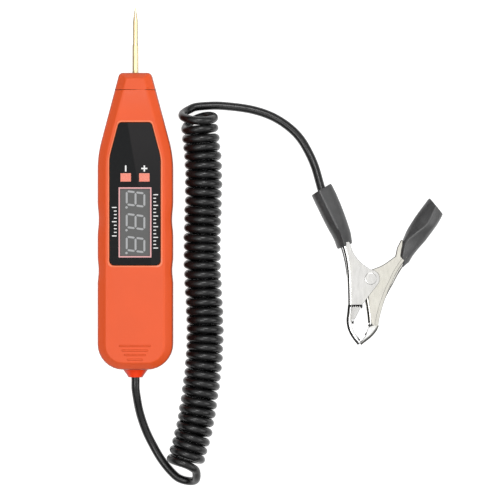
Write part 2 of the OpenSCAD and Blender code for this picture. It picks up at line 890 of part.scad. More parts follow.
// Soft sleeve over a handle, hollow: slices are [x, wide, tall, corner radius, shift]
module sleeve(slices) {
    last = len(slices) - 1;
    color(black_plastic) difference() {
        hull() for (s = slices) sleeve_slice(s[0], s[1], s[2], s[3], s[4]);
        hull() for (i = [0:last]) let (s = slices[i])
            sleeve_slice(s[0] + (i == 0 ? -eps : i == last ? eps : 0),
                s[1] - 2 * sleeve_wall, s[2] - 2 * sleeve_wall, s[3] - sleeve_wall, s[4]);
    }
}

module sleeve_fixed() {
    at_clip() along_line(fixed_sleeve_ends)
        sleeve([[0, 9.4, 9.8, 4.7, 0], [11, 9.1, 9.9, 4.2, 0.5], [25.4, 6.8, 10.2, 1.7, 0.2]]);
}

module sleeve_moving() {
    at_clip() along_line(moving_sleeve_ends)
        sleeve([[0, 8.5, 8.6, 4.2, -0.4], [14.5, 9, 8.8, 3.6, -1.1], [25.9, 5, 9, 1.6, -0.1]]);
}

front_shell();
rear_shell();
nose_cap();
probe_tip();
probe_socket();
probe_wire();
window_panel();
display_frame();
display_module();
display_segments();
display_pins();
led_lens_minus();
led_lens_plus();
led_minus();
led_plus();
polarity_marks();
scale_marks();
circuit_board();
controller_chip();
voltage_regulator();
board_components();
board_screws();
case_screws();
cord_gland();
cord_collar();
ground_wire();
cord_lead();
cord_curl();
cord_tail();
clip_jaw_fixed();
clip_jaw_moving();
clip_rivet();
clip_spring();
wire_crimp();
sleeve_fixed();
sleeve_moving();
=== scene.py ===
# The looks of the circuit test light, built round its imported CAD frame.
# Sizes are in millimetres in the CAD's own frame, and MM turns them into metres.
import json
import math
from bisect import bisect_right

import bmesh
import bpy
from mathutils import Matrix, Vector
from mathutils.geometry import tessellate_polygon


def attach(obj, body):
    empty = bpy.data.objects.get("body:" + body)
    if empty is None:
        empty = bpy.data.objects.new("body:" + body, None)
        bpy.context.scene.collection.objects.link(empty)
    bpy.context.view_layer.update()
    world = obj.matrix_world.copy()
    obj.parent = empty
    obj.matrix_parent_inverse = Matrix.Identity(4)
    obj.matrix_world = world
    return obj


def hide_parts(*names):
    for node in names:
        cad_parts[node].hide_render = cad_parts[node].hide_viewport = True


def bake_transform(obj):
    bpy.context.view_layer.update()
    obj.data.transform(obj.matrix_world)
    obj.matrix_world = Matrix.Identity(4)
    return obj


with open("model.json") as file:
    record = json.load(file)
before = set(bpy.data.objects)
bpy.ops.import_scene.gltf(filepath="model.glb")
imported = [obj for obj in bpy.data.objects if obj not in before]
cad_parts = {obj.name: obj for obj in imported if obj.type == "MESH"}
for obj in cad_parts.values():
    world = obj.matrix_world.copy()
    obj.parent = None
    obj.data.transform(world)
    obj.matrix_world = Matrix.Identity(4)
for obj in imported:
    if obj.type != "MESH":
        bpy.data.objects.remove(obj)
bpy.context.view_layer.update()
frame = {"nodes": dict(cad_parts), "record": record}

MM = 0.001

# ---- driving sizes, as in the CAD model ----
CASE_W = 30.8
CASE_T = 20.0
CASE_L = 121.4
TESTER_L = 151.2
WALL = 1.8
NOSE_W = 13.0
SHOULDER_W = 3.4
SHOULDER_DROP = 3.0
FLANK_SLOPE = 0.264
BASE_Y = -TESTER_L / 2 + 3.2
NOSE_Y = BASE_Y + CASE_L
SEAM_Y = NOSE_Y - 7
SPLIT_Z = CASE_T / 2
PROBE_Z = 0.6 * CASE_T
BACK_FLAT_Y = NOSE_Y - (CASE_W - NOSE_W) / 2 / FLANK_SLOPE
NOSE_BACK_Z = 4.5
PANEL_Z = CASE_T - 1.2
CORD_D = 3.4
CORD_R = CORD_D / 2
CLIP_Z = 5.2
RIVET = Vector((96.4, -35.2, CLIP_Z))


def add_object(name, data):
    obj = bpy.data.objects.new(name, data)
    bpy.context.collection.objects.link(obj)
    return obj


# ---- camera and stage ----

# What the camera sees: the width of its picture, in mm, at FRAME_Z above the floor
FRAME_W, FRAME_Z = 205.0, 8
FRAME_CENTRE = (46.9, -23.45)
LENS, SENSOR = 400.0, 36.0
# Lamps: name, place and diameter in m, power in W
LAMPS = (("key", (1.2, -0.1, 0.72), 0.95, 4.4), ("top", (0.12, 0.6, 1.25), 0.5, 6),
         ("fill", (-0.38, -0.24, 1.25), 0.55, 4.0))
LAMP_TARGET = Vector((0.047, -0.024, 0))
# The sky's (height, brightness), with the height tilted so that the right is brighter
SKY_TILT = 0.17
SKY_STOPS = ((0.34, 0.01), (0.52, 0.85), (0.9, 1.0))
# The floor lies a little under the case's back, so that the two don't share a plane
FLOOR_Z = -0.05


def add_camera():
    """A long lens straight above the object, its top edge towards +Y."""
    data = bpy.data.cameras.new("camera")
    data.type = "PERSP"
    data.lens = LENS
    data.sensor_width = SENSOR
    data.clip_end = 10
    camera = add_object("camera", data)
    camera.location = Vector((*FRAME_CENTRE, FRAME_W * LENS / SENSOR + FRAME_Z)) * MM
    bpy.context.scene.camera = camera


def add_lamp(name, place, size, power):
    data = bpy.data.lights.new(name, "AREA")
    data.shape = "DISK"
    data.size = size
    data.energy = power
    lamp = add_object(name, data)
    lamp.location = place
    lamp.rotation_euler = (LAMP_TARGET - Vector(place)).to_track_quat("-Z", "Y").to_euler()


def add_sky():
    """A soft sky, dark low down and most of all on the left."""
    world = bpy.data.worlds.new("studio")
    bpy.context.scene.world = world
    world.use_nodes = True
    tree = world.node_tree
    way = tree.nodes.new("ShaderNodeTexCoord")
    height = tree.nodes.new("ShaderNodeVectorMath")
    height.operation = "DOT_PRODUCT"
    height.inputs[1].default_value = (SKY_TILT, 0.0, 1)
    ramp = tree.nodes.new("ShaderNodeValToRGB")
    stops = ramp.color_ramp.elements
    stops.new(SKY_STOPS[1][0])
    for stop, (position, value) in zip(stops, SKY_STOPS):
        stop.position = position
        stop.color = (value, value, value, 1)
    tree.links.new(way.outputs["Generated"], height.inputs[0])
    tree.links.new(height.outputs["Value"], ramp.inputs[0])
    tree.links.new(ramp.outputs[0], tree.nodes["Background"].inputs["Color"])


def add_stage():
    """A pale floor under the sky and three lamps: one low on the right, one high over the
    probe's end and a weaker one high on the left."""
    add_sky()
    for lamp in LAMPS:
        add_lamp(*lamp)
    bm = bmesh.new()
    bmesh.ops.create_grid(bm, x_segments=2, y_segments=2, size=3)
    mesh = bpy.data.meshes.new("floor")
    bm.to_mesh(mesh)
    bm.free()
    mesh.materials.append(plain_floor())
    floor = add_object("floor", mesh)
    floor.location.z = FLOOR_Z * MM
    bpy.context.scene.view_settings.view_transform = "Standard"


# ---- materials ----

class Look:
    """A Principled material with a few shorthands for its nodes. Places are object places in mm."""

    def __init__(self, name, color, roughness, **sockets):
        self.material = bpy.data.materials.new(name)
        self.material.use_nodes = True
        self.tree = self.material.node_tree
        self.shader = self.tree.nodes["Principled BSDF"]
        self.shader.inputs["Base Color"].default_value = (*color, 1)
        for key, value in dict(sockets, Roughness=roughness).items():
            self.shader.inputs[key.replace("_", " ")].default_value = value
        scale = self.node("ShaderNodeVectorMath", operation="SCALE")
        scale.inputs["Scale"].default_value = 1 / MM
        self.link(self.node("ShaderNodeTexCoord").outputs["Object"], scale.inputs[0])
        self.place = scale.outputs[0]

    def node(self, kind, **settings):
        node = self.tree.nodes.new(kind)
        for key, value in settings.items():
            setattr(node, key, value)
        return node

    def link(self, a, b):
        self.tree.links.new(a, b)

    def noise(self, scale, detail, stretch=(1, 1, 1), roughness=0.55):
        """Noise from 0 to 1 with about `scale` lumps a millimetre."""
        place = self.node("ShaderNodeMapping")
        place.inputs["Scale"].default_value = stretch
        noise = self.node("ShaderNodeTexNoise")
        noise.inputs["Scale"].default_value = scale
        noise.inputs["Detail"].default_value = detail
        noise.inputs["Roughness"].default_value = roughness
        self.link(self.place, place.inputs[0])
        self.link(place.outputs[0], noise.inputs["Vector"])
        return noise.outputs["Fac"]

    def spread(self, value, low, high, to_low=0.0, to_high=1.0):
        """Maps low..high of value to to_low..to_high, clamped."""
        node = self.node("ShaderNodeMapRange")
        for i, v in enumerate((low, high, to_low, to_high)):
            node.inputs[i + 1].default_value = v
        self.link(value, node.inputs[0])
        return node.outputs[0]

    def mix(self, factor, a, b):
        """A colour between a and b, which are colours or outputs."""
        node = self.node("ShaderNodeMix", data_type="RGBA")
        self.link(factor, node.inputs[0])
        for socket, value in ((node.inputs[6], a), (node.inputs[7], b)):
            if isinstance(value, (tuple, list)):
                socket.default_value = (*value, 1)
            else:
                self.link(value, socket)
        return node.outputs[2]

    def paint(self, color):
        self.link(color, self.shader.inputs["Base Color"])

    def rough(self, value, low, high, ends=(0.3, 0.7)):
        """Roughness from low to high, as value goes between the ends."""
        self.link(self.spread(value, *ends, low, high), self.shader.inputs["Roughness"])

    def bump(self, height, depth, strength=1.0):
        """A bump of about `depth` mm."""
        node = self.node("ShaderNodeBump")
        node.inputs["Strength"].default_value = strength
        node.inputs["Distance"].default_value = depth * MM
        self.link(height, node.inputs["Height"])
        self.link(node.outputs[0], self.shader.inputs["Normal"])

    def edges(self, low, high):
        """0 on flat surface, 1 on sharp convex edges."""
        return self.spread(self.node("ShaderNodeNewGeometry").outputs["Pointiness"], low, high)

    def split(self, vector):
        """The X, Y and Z of a vector output."""
        node = self.node("ShaderNodeSeparateXYZ")
        self.link(vector, node.inputs[0])
        return tuple(node.outputs)

    def calc(self, operation, *values):
        """A sum of outputs and numbers."""
        node = self.node("ShaderNodeMath", operation=operation)
        for socket, value in zip(node.inputs, values):
            if isinstance(value, (int, float)):
                socket.default_value = value
            else:
                self.link(value, socket)
        return node.outputs[0]

    def steep(self, from_z, to_z):
        """Goes from 0 to 1 as the height of the surface's unit normal, up or down, goes from
        from_z to to_z. That height is 1 on level surface and 0 on upright surface."""
        _, _, height = self.split(self.node("ShaderNodeTexCoord").outputs["Normal"])
        return self.spread(self.calc("ABSOLUTE", height), from_z, to_z)


def shade(color, factor):
    return tuple(min(1.0, c * factor) for c in color)


def plain_floor():
    """A pale light table: it glows a little, so shadows on it stay faint."""
    look = Look("floor", (0.4, 0.4, 0.4), 0.9, Specular_IOR_Level=0.0, Emission_Strength=0.88,
                Emission_Color=(1, 1, 1, 1))
    look.paint(look.mix(look.noise(0.02, 2), (0.39, 0.39, 0.39), (0.41, 0.41, 0.41)))
    return look.material


# Painted shade: the case's slopes are painted a little redder than its faces, and its sides much
# darker, for the light that falls less on them
SLOPE_PAINTED_SHADE = (0.98, 0.9, 0.6)
SIDE_PAINTED_SHADE = 0.36


def moulded_plastic(name, color, roughness, grain=0.02, wear=0.1):
    """Satin moulded plastic: fine spark-eroded grain, faint flow clouds, rubbed edges, and painted
    shade: slopes are coloured a little redder and upright sides much darker."""
    look = Look(name, color, roughness, Specular_IOR_Level=0.27)
    clouds = look.spread(look.noise(0.05, 3), 0.3, 0.7)
    body = look.mix(clouds, shade(color, 0.965), shade(color, 1.03))
    specks = look.spread(look.noise(3.0, 2), 0.62, 0.75, 0, 0.25)
    body = look.mix(specks, body, shade(color, 0.85))
    rubbed = tuple(c + (1 - c) * wear for c in color)
    patchy = look.calc("MULTIPLY", look.edges(0.54, 0.64),
                       look.spread(look.noise(0.4, 5), 0.4, 0.65, 0.1, 0.8))
    body = look.mix(patchy, body, rubbed)
    # Painted shade on slopes and upright sides, by how steep the surface is
    body = look.mix(look.steep(0.96, 0.74), body,
                    tuple(c * tint for c, tint in zip(color, SLOPE_PAINTED_SHADE)))
    look.paint(look.mix(look.steep(0.66, 0.2), body, shade(color, SIDE_PAINTED_SHADE)))
    look.rough(look.noise(0.6, 5), roughness - 0.05, roughness + 0.06)
    look.bump(look.noise(4.5, 3), grain)
    return look.material


NOSE_BRIGHT = (0.9, 0.9, 0.89)
NOSE_FADE = 1.5


def plated_metal(name, color, roughness, stretch=(1, 1, 1), scratch=0.004, tint=0.9, sides=None,
                 bright_below=None, painted_dark_bevels=None):
    """Bright plated metal with drawn lines along one way and dull spots. Where they are given, the
    sides colour paints shade on its steep sides and the bevel colour paints a dark reflection on
    its bevels, and it is brighter where Y is below `bright_below`."""
    look = Look(name, color, roughness, Metallic=1.0)
    lines = look.noise(2.2, 6, stretch, 0.7)
    body = look.mix(look.spread(lines, 0.3, 0.7), shade(color, 0.95), shade(color, 1.04))
    stain = look.spread(look.noise(0.12, 5), 0.52, 0.75, 0, 0.5)
    body = look.mix(stain, body, (color[0] * tint, color[1] * tint, color[2] * tint * 0.95))
    if bright_below:
        _, y, _ = look.split(look.place)
        body = look.mix(look.spread(y, bright_below, bright_below - NOSE_FADE), body, NOSE_BRIGHT)
    # Painted shade on steep sides
    if sides:
        body = look.mix(look.steep(0.9, 0.5), body, sides)
    # Painted dark reflection on bevels, where the low dark sky would be reflected
    if painted_dark_bevels:
        bevelled = look.calc("MULTIPLY", look.steep(0.96, 0.86), look.steep(0.35, 0.55))
        body = look.mix(bevelled, body, painted_dark_bevels)
    look.paint(body)
    look.rough(look.noise(1.1, 6, stretch), roughness * 0.8, roughness * 1.3, (0.3, 0.75))
    look.bump(lines, scratch)
    return look.material


def soft_pvc(name, color, roughness, ripple, shine=0.42):
    """Black PVC jacket: fine ripples, dusty clouds, a waxy highlight."""
    look = Look(name, color, roughness, Specular_IOR_Level=shine)
    dust = look.spread(look.noise(0.25, 6), 0.45, 0.75, 0, 0.6)
    look.paint(look.mix(dust, color, tuple(c + 0.012 for c in color)))
    look.rough(look.noise(0.9, 5), roughness - 0.06, roughness + 0.1)
    look.bump(look.noise(1.6, 4), ripple)
    return look.material


# The slanted edge of the window's painted reflection, between its two tones: X = LINE_X -
# LINE_SLANT * Y
LINE_SLANT, LINE_X = 0.17, 1.75


def window_gloss_painted_reflection(name):
    """Glossy black acrylic in two tones, split by a slanted line that fades towards the lamps: the
    lighter tone is a painted reflection.
    """
    dark, light = (0.003, 0.0035, 0.004), (0.014, 0.013, 0.0135)
    look = Look(name, dark, 0.12, Specular_IOR_Level=0.2)
    x, y, _ = look.split(look.place)
    across = look.calc("ADD", x, look.calc("MULTIPLY_ADD", y, LINE_SLANT, -LINE_X))
    # Painted reflection: the lighter tone right of the line, strongest towards the top
    right = look.spread(across, -0.25, 0.35)
    upper = look.spread(y, -4, 22, 0.35, 1)
    look.paint(look.mix(look.calc("MULTIPLY", right, upper), dark, light))
    look.rough(look.noise(0.8, 6), 0.1, 0.2, (0.35, 0.8))
    look.bump(look.noise(0.15, 2), 0.01, 0.3)
    return look.material


def display_face(name):
    """Grey epoxy with a fine mottle."""
    look = Look(name, (0.06, 0.061, 0.062), 0.38)
    fine = look.spread(look.noise(6, 3), 0.3, 0.7)
    look.paint(look.mix(fine, (0.051, 0.051, 0.05), (0.069, 0.069, 0.067)))
    look.rough(look.noise(2, 4), 0.3, 0.48)
    look.bump(look.noise(8, 2), 0.01)
    return look.material


def print_ink(name, color, roughness=0.45):
    """Screen-printed ink, thin in places."""
    look = Look(name, color, roughness)
    thin = look.spread(look.noise(3.5, 4), 0.45, 0.8, 0, 0.5)
    look.paint(look.mix(thin, color, shade(color, 0.72)))
    look.rough(look.noise(5, 3), roughness - 0.1, roughness + 0.15)
    look.bump(look.noise(7, 3), 0.01)
    return look.material


def lamp_plastic(name, color):
    """Translucent moulded lens with a pebbled back."""
    look = Look(name, color, 0.25, Subsurface_Weight=0.25, Subsurface_Scale=0.8 * MM,
                Subsurface_Radius=(1.0, 0.5, 0.4))
    pebbles = look.node("ShaderNodeTexVoronoi")
    pebbles.inputs["Scale"].default_value = 2.4
    look.link(look.place, pebbles.inputs["Vector"])
    look.paint(look.mix(look.spread(pebbles.outputs["Distance"], 0.1, 0.6),
                        shade(color, 1.05), shade(color, 0.9)))
    look.rough(look.noise(2, 4), 0.18, 0.35)
    look.bump(pebbles.outputs["Distance"], 0.02)
    return look.material


# How each look is made: its function, and what that takes after the name
FINISHES = {
    "case_orange": (moulded_plastic, (0.645, 0.08, 0.0165), 0.42),
    # A lighter, pinker copy of the case's orange: painted highlight on the window's bead
    "rim_orange": (moulded_plastic, (0.72, 0.17, 0.075), 0.38),
    "gland_orange": (moulded_plastic, (0.84, 0.046, 0.004), 0.38, 0.01),
    # The brass's last colour paints shade on the probe's steep sides
    "brass": (plated_metal, (0.92, 0.74, 0.42), 0.36, (1, 0.08, 1), 0.004, 0.9,
              (0.36, 0.315, 0.225)),
    "wire_red": (moulded_plastic, (0.5, 0.02, 0.02), 0.4, 0.01, 0.05),
    "wire_black": (moulded_plastic, (0.02, 0.02, 0.02), 0.4, 0.01, 0.05),
    "window_black": (window_gloss_painted_reflection,),
    "frame_pink": (print_ink, (0.62, 0.31, 0.31)),
    "display_face": (display_face,),
    "display_segment": (print_ink, (0.30, 0.305, 0.31), 0.3),
    "lamp_lens": (lamp_plastic, (0.75, 0.218, 0.15)),
    "lamp_body": (lamp_plastic, (0.85, 0.6, 0.5)),
    "print_white": (print_ink, (0.7, 0.7, 0.69)),
    "board_green": (moulded_plastic, (0.01, 0.12, 0.04), 0.3, 0.01, 0.2),
    "chip_black": (moulded_plastic, (0.02, 0.02, 0.02), 0.5, 0.01),
    "component_tan": (moulded_plastic, (0.42, 0.3, 0.16), 0.4, 0.01),
    "plated_steel": (plated_metal, (0.62, 0.61, 0.58), 0.28),
    # The nickels' last colours paint a dark reflection on the jaws' bevels
    "clip_nickel": (plated_metal, (0.70, 0.692, 0.672), 0.2, (1, 0.15, 1), 0.002, 0.95, None,
                    -52, (0.13, 0.13, 0.125)),
    "clip_nickel_warm": (plated_metal, (0.70, 0.68, 0.615), 0.2, (1, 0.15, 1), 0.002, 0.95, None,
                         -54, (0.13, 0.128, 0.115)),
    "spring_steel": (plated_metal, (0.55, 0.55, 0.55), 0.3),
    "cord_black": (soft_pvc, (0.003, 0.003, 0.0033), 0.27, 0.003),
    "sleeve_black": (soft_pvc, (0.018, 0.018, 0.0185), 0.42, 0.05, 1.0),
}
LOOKS = {name: make(name, *settings) for name, (make, *settings) in FINISHES.items()}


# ---- shapes that several pieces share ----

def round_corner(a, b, c, radius, steps):
    """Points of the arc of that radius that rounds corner b between a and c."""
    a, b, c = Vector(a), Vector(b), Vector(c)
    u, v = (a - b).normalized(), (c - b).normalized()
    half = u.angle(v) / 2
    middle = b + (u + v).normalized() * radius / math.sin(half)
    start = b + u * radius / math.tan(half) - middle
    stop = b + v * radius / math.tan(half) - middle
    sweep = math.pi - 2 * half
    return [middle + (start * math.sin(sweep * (1 - k / steps))
                      + stop * math.sin(sweep * k / steps)) / math.sin(sweep)
            for k in range(steps + 1)]


def rounded_profile(points, steps=5):
    """An open section line of (inset, z, radius), with its inner corners rounded."""
    line = [tuple(points[0][:2])]
    for a, b, c in zip(points, points[1:], points[2:]):
        line += [tuple(p) for p in round_corner(a[:2], b[:2], c[:2], b[2], steps)]
    return line + [tuple(points[-1][:2])]


def corner_arcs(corners, radii, steps):
    """The arcs that round the corners of a closed outline, one for each."""
    return [round_corner(a, b, c, radius, steps) for a, b, c, radius in
            zip(corners[-1:] + corners, corners, corners[1:] + corners[:1], radii)]


# Points between one corner of a tapered outline and the next
OUTLINE_SPANS = (10, 36, 8, 36, 10, 6)


def tapered_outline(top_y, top_w, full_w, low_y, radii, inset=(0, 0, 0), steps=8):
    """A narrow straight end at top_y, sloped flanks and a wide round base, drawn in by inset
    (sides, top, base). Every outline has the same number of points, so two can be bridged."""
    in_side, in_top, in_base = inset
    top_half = top_w / 2 + FLANK_SLOPE * in_top - in_side * math.hypot(1, FLANK_SLOPE)
    full_half = full_w / 2 - in_side
    flank_y = top_y - in_top - (full_half - top_half) / FLANK_SLOPE
    radius = [max(radii[0] - in_side, 0.6), radii[1] - in_side, max(radii[2] - in_side, 0.6)]
    right = [(top_half, top_y - in_top), (full_half, flank_y), (full_half, low_y + in_base)]
    corners = right + [(-x, y) for x, y in right[::-1]]
    arcs = corner_arcs(corners, radius + radius[::-1], steps)
    points = []
    for arc_, following, span in zip(arcs, arcs[1:] + arcs[:1], OUTLINE_SPANS):
        points += arc_ + [arc_[-1].lerp(following[0], k / (span + 1)) for k in range(1, span + 1)]
    return points


def to_object(name, bm, look, smooth=35):
    """Makes a mesh object of bm, whose sizes are in mm."""
    bmesh.ops.recalc_face_normals(bm, faces=bm.faces)
    mesh = bpy.data.meshes.new(name)
    bm.to_mesh(mesh)
    bm.free()
    mesh.transform(Matrix.Scale(MM, 4))
    mesh.materials.append(LOOKS[look])
    shade_smooth(mesh, smooth)
    return add_object(name, mesh)


def shade_smooth(mesh, angle):
    mesh.polygons.foreach_set("use_smooth", [True] * len(mesh.polygons))
    mesh.set_sharp_from_angle(angle=math.radians(angle))


def skin(bm, rows):
    """Joins rows of corners, which all have the same number, with faces."""
    for low, high in zip(rows, rows[1:]):
        for i, corner in enumerate(low):
            j = (i + 1) % len(low)
            bm.faces.new((corner, low[j], high[j], high[i]))


def add_rings(bm, rings, loop=False):
    """Skins rings of points, and caps the ends or joins them."""
    rows = [[bm.verts.new(p) for p in ring] for ring in rings]
    skin(bm, rows + rows[:1] if loop else rows)
    if not loop:
        bm.faces.new(rows[0])
        bm.faces.new(rows[-1][::-1])


def skinned(name, rings, look, smooth=35, loop=False):
    bm = bmesh.new()
    add_rings(bm, rings, loop)
    return to_object(name, bm, look, smooth)


def turned(name, profile, start, axis, look, count=64, **finish):
    """A lathe-turned piece: profile is a list of (distance along axis, radius)."""
    axis = Vector(axis).normalized()
    across = axis.orthogonal().normalized()
    up = axis.cross(across)
    angles = [2 * math.pi * k / count for k in range(count)]
    rings = [[Vector(start) + axis * along
              + (across * math.cos(a) + up * math.sin(a)) * max(radius, 0.02) for a in angles]
             for along, radius in profile]
    return skinned(name, rings, look, **finish)


def drill(obj, profile, start, axis):
    """Cuts a turned hole out of obj, by a profile of (distance along axis, radius)."""
    cutter = turned("cutter", profile, start, axis, "case_orange", 48)
    modifier = obj.modifiers.new("cut", "BOOLEAN")
    modifier.operation = "DIFFERENCE"
    modifier.object = cutter
    modifier.solver = "EXACT"
    graph = bpy.context.evaluated_depsgraph_get()
    mesh = bpy.data.meshes.new_from_object(obj.evaluated_get(graph))
    obj.modifiers.clear()
    old = obj.data
    obj.data = mesh
    mesh.name = old.name
    bpy.data.meshes.remove(old)
    bpy.data.objects.remove(cutter)


def round_wire(name, points, radius, resolution, look):
    """A curve of round wire through points, all in mm."""
    data = bpy.data.curves.new(name, "CURVE")
    data.dimensions = "3D"
    spline = data.splines.new("POLY")
    spline.points.add(len(points) - 1)
    for point, place in zip(spline.points, points):
        point.co = (place.x * MM, place.y * MM, place.z * MM, 1)
    spline.use_smooth = True
    data.bevel_depth = radius * MM
    data.bevel_resolution = resolution
    data.use_fill_caps = True
    data.materials.append(LOOKS[look])
    return add_object(name, data)


def piece(obj, body, slot, *nodes):
    """obj rides on body and stands for the CAD nodes. slot is not used."""
    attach(obj, body)
    if nodes:
        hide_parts(*nodes)
    return obj


# ---- the cord ----

class Route:
    """A smooth line through points, measured along its length."""

    def __init__(self, points, step=0.25):
        self.points = catmull_rom([Vector(p) for p in points], step)
        self.lengths = [0.0]
        for a, b in zip(self.points, self.points[1:]):
            self.lengths.append(self.lengths[-1] + (b - a).length)

    def at(self, distance):
        """(point, direction) at that distance, going on straight past the ends."""
        inside = min(max(distance, 0), self.lengths[-1])
        low = min(bisect_right(self.lengths, inside), len(self.lengths) - 1) - 1
        a, b = self.points[low:low + 2]
        way = (b - a).normalized()
        return a + way * (inside - self.lengths[low] + distance - inside), way

    def distance_at_y(self, y):
        """Distance to the first place past y along +Y."""
        return next((length for point, length in zip(self.points, self.lengths)
                     if point.y >= y), self.lengths[-1])


def catmull_rom(points, step):
    """Points about step apart on a centripetal Catmull-Rom curve through points."""
    ends = [points[0] * 2 - points[1]] + points + [points[-1] * 2 - points[-2]]
    line = []
    for p0, p1, p2, p3 in zip(ends, ends[1:], ends[2:], ends[3:]):
        t1 = (p1 - p0).length ** 0.5
        t2 = t1 + (p2 - p1).length ** 0.5
        t3 = t2 + (p3 - p2).length ** 0.5
        count = max(1, round((p2 - p1).length / step))
        for k in range(count):
            t = t1 + (t2 - t1) * k / count
            a1 = p0.lerp(p1, t / t1)
            a2 = p1.lerp(p2, (t - t1) / (t2 - t1))
            a3 = p2.lerp(p3, (t - t2) / (t3 - t2))
            b1 = a1.lerp(a2, t / t2)
            b2 = a2.lerp(a3, (t - t1) / (t3 - t1))
            line.append(b1.lerp(b2, (t - t1) / (t2 - t1)))
    return line + [points[-1]]


CURL_R = 5.9
CURL_Z = CURL_R + CORD_R
CURL_TURNS = 38
CURL_ENDS_Y = (-111.3, 29.6)
# Points of the cord's straight start, of the coils' axis and of the straight end
LEAD = [
    (0, -75, 10), (0, -77.4, 9.95), (0, -80, 9.6), (0.6, -84.5, 8.2), (1.4, -89, 6),
    (2.8, -94, 4), (4.7, -99, 2.4), (7.2, -104, CORD_R), (10.1, -109, CORD_R),
    (13.8, -113.8, CORD_R), (17.5, -117.2, CORD_R), (21.4, -118.4, 2.2),
    (24.2, -118.1, 4.4), (25, -116.4, 7.8),
]
CURL_AXIS = [
    (18.4, -118), (20, -111.3), (21.4, -106.5), (23.9, -97.4), (26, -85), (27.6, -73),
    (28.4, -62), (28.4, -52), (27.4, -32), (27.3, -19), (27.8, -1), (27.8, 11), (26.9, 21),
    (26, 29.3), (25.8, 36.5),
]
TAIL = [
    (31.5, 35.9, CORD_R), (37, 35.7, CORD_R), (47.8, 34.2, CORD_R), (56.1, 31.4, CORD_R),
    (62.9, 27.1, CORD_R), (67.4, 22.6, CORD_R), (70.9, 16.9, 2), (73.5, 11, 3),
    (75.2, 5.2, 4.4), (76.3, 1.3, CLIP_Z), (77.7, -2.2, CLIP_Z), (79.9, -7.6, CLIP_Z),
]


# How the coils differ from an even helix, in mm where nothing else is said
CURL_PARTS = (-0.17, 0.52)      # part turns before the first whole one and after the last
LEVEL = 0.8                     # 1 makes the top strands quite level, 0 as steep as the others
OPEN_LOW, OPEN_HIGH = 7.0, 4.8  # how far the part turns open up
LEAN, LEAN_LEFT = 3.4, 0.3      # lean of the last floor strand, and what is left a turn before
LEAN_AT, LEAN_HALF = 0.45, 0.38 # where that strand is before a whole turn, and half its length
CLOSING = 0.45                  # how much nearer the last turn lies
SWELL, SWELL_TURNS = 0.8, 0.7   # how much wider the last turn is, and from where
FIT = 0.07                      # what the coils are wider than in the CAD model


def curl_points(per_turn=24):
    """The coils: level top strands run to -X, and floor strands to +X while they climb along +Y.
    The first and last half turns open up into the straight ends, and the floor strands near the
    upper end lean out with them."""
    axis = Route([(x, y, CURL_Z) for x, y in CURL_AXIS])
    first = axis.distance_at_y(CURL_ENDS_Y[0])
    pitch = (axis.distance_at_y(CURL_ENDS_Y[1]) - first) / CURL_TURNS
    points = []
    for k in range(round(CURL_PARTS[0] * per_turn),
                   round((CURL_TURNS + CURL_PARTS[1]) * per_turn)):
        t = k / per_turn
        past = t - CURL_TURNS
        along = pitch * (t - LEVEL * math.sin(2 * math.pi * t) / (2 * math.pi))
        along -= OPEN_LOW * (2 * max(-t, 0)) ** 1.5
        along += OPEN_HIGH * (2 * max(past, 0)) ** 1.2
        turn = min(round(t + LEAN_AT), CURL_TURNS)
        off = min(abs(t + LEAN_AT - turn), LEAN_HALF)
        along += (LEAN * LEAN_LEFT ** (CURL_TURNS - turn)
                  * math.cos(math.pi * off / (2 * LEAN_HALF)) ** 2)
        along -= CLOSING * min(max(past + 1, 0), 1)
        along += 0.12 * math.sin(t * 1.7) + 0.1 * math.sin(t * 0.61 + 1)
        centre, way = axis.at(first + along)
        side = Vector((way.y, -way.x, 0))
        radius = (CURL_R + FIT + 0.08 * math.sin(t * 2.3)
                  + SWELL * min(max(past + SWELL_TURNS, 0), 1))
        angle = math.pi * (2 * t + 0.5)
        lift = math.sin(angle)
        height = CURL_Z + (radius * lift if lift > 0 else CURL_R * lift)
        points.append(centre + side * radius * math.cos(angle)
                      + Vector((0, 0, height - centre.z)))
    return points


def build_cord():
    """One curve from the gland to the clip, which touches the floor but never goes under it."""
    knots = [Vector(p) for p in LEAD] + curl_points() + [Vector(p) for p in TAIL]
    line = [Vector((p.x, p.y, max(p.z, CORD_R + 0.01))) for p in catmull_rom(knots, 1.0)]
    cord = round_wire("cord", line, CORD_R, 5, "cord_black")
    return piece(cord, "root", "cord_black", "cord_lead", "cord_curl", "cord_tail")


# ---- case ----

# Finger scallops in both sides: (y, half length, depth)
SCALLOPS = ((-10.85, 6.15, 0.48), (-31.8, 4.9, 0.43))
SCALLOPED_X = 8                 # the scallops are only in the flanks, past this X
FACE_IN = (SHOULDER_W, 2.4, 2.9)
CASE_RADII = (2, 46, 10.5)
SEAM_GAP = 0.05
SPLIT_GAP, SPLIT_SLOPE = 0.03, 0.2
# The window's outline: top Y, top width, full width, low Y
WINDOW = (28.5, 13.2, 20.6, -29.6)
WINDOW_RADII = (1.7, 14, 2)
# Bores for the cord's outlet and the probe: (distance along, radius)
GLAND_BORE = ((0, 4), (WALL + 2, 4))
NOSE_BORE = ((0, 1.62), (6.7, 1.62), (7.3, 2.2))
# Bores for the screws in the back: X, Y, how far the back has risen there
SCREWS = ((0, 29.6, 2.2), (-9.6, -57.5, 0), (9.6, -57.5, 0))
SCREW_R, SCREW_SUNK = 2.7, 2.4
# Grip ridges: lengths, Y of the first, step, half width, and (inset, height) of their section
RIDGES = (13.1, 10.9, 8.9, 6.6)
RIDGE_Y, RIDGE_STEP, RIDGE_HALF = -62.6, -1.85, 0.42
RIDGE_SECTION = ((0, -0.1), (0.06, 0.13), (0.18, 0.27), (0.28, 0.33), (0.36, 0.34))


